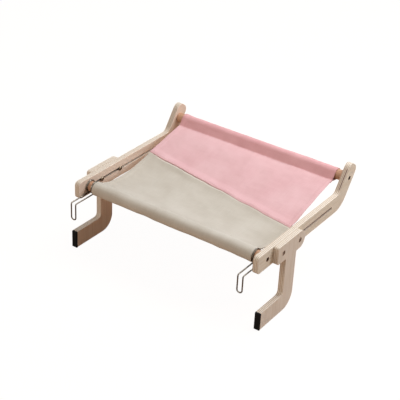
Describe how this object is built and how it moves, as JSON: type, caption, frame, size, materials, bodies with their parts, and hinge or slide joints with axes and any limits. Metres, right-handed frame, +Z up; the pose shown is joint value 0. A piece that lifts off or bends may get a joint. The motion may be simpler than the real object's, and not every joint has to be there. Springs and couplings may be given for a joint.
{
  "type": "window mounted cat perch",
  "caption": "Cat perch that hooks over a sill or bed board: a canvas sling on dowels between plywood rails, with sliding legs and swinging wire hooks.",
  "frame": {"origin": "centre of the overall width and depth, level with the foot pads' underside", "axes": "+X along the dowels to the right, +Y away from the sill towards the upturned rail ends, +Z up"},
  "size_m": [0.47, 0.3952, 0.2159],
  "materials": {
    "plywood": "sanded birch plywood, clear matt lacquer, plies showing on the edges",
    "dowel_wood": "turned beech, sanded",
    "insert_steel": "zinc plated",
    "bolt_steel": "nickel plated",
    "beige_canvas": "plain woven canvas, beige",
    "pink_canvas": "plain woven canvas, pink",
    "pad_rubber": "matt black rubber",
    "hook_wire": "drawn steel wire, nickel plated"
  },
  "bodies": {
    "frame": {"left_side_rail": "plywood", "right_side_rail": "plywood", "front_dowel": "dowel_wood", "rear_dowel": "dowel_wood", "front_left_insert": "insert_steel", "front_right_insert": "insert_steel", "rear_left_insert": "insert_steel", "rear_right_insert": "insert_steel", "front_left_dowel_bolt": "bolt_steel", "front_right_dowel_bolt": "bolt_steel", "rear_left_dowel_bolt": "bolt_steel", "rear_right_dowel_bolt": "bolt_steel", "front_canvas_panel": "beige_canvas", "rear_canvas_panel": "pink_canvas"},
    "left_leg": {"left_leg": "plywood", "left_foot_pad": "pad_rubber", "left_leg_front_bolt": "bolt_steel", "left_leg_rear_bolt": "bolt_steel", "left_leg_front_sleeve_nut": "bolt_steel", "left_leg_rear_sleeve_nut": "bolt_steel"},
    "right_leg": {"right_leg": "plywood", "right_foot_pad": "pad_rubber", "right_leg_front_bolt": "bolt_steel", "right_leg_rear_bolt": "bolt_steel", "right_leg_front_sleeve_nut": "bolt_steel", "right_leg_rear_sleeve_nut": "bolt_steel"},
    "left_hook": {"left_wire_hook": "hook_wire"},
    "right_hook": {"right_wire_hook": "hook_wire"}
  },
  "joints": [
    {"name": "left_leg_slide", "type": "slide", "parent": "frame", "child": "left_leg", "axis": [0, 1, 0], "range_m": [-0.018, 0.142]},
    {"name": "right_leg_slide", "type": "slide", "parent": "frame", "child": "right_leg", "axis": [0, 1, 0], "range_m": [-0.018, 0.142]},
    {"name": "left_hook_swing", "type": "hinge", "parent": "frame", "child": "left_hook", "pos_m": [0, -0.13558, 0.143], "axis": [1, 0, 0], "range_deg": [-150, 105]},
    {"name": "right_hook_swing", "type": "hinge", "parent": "frame", "child": "right_hook", "pos_m": [0, -0.13558, 0.143], "axis": [1, 0, 0], "range_deg": [-150, 105]}
  ]
}
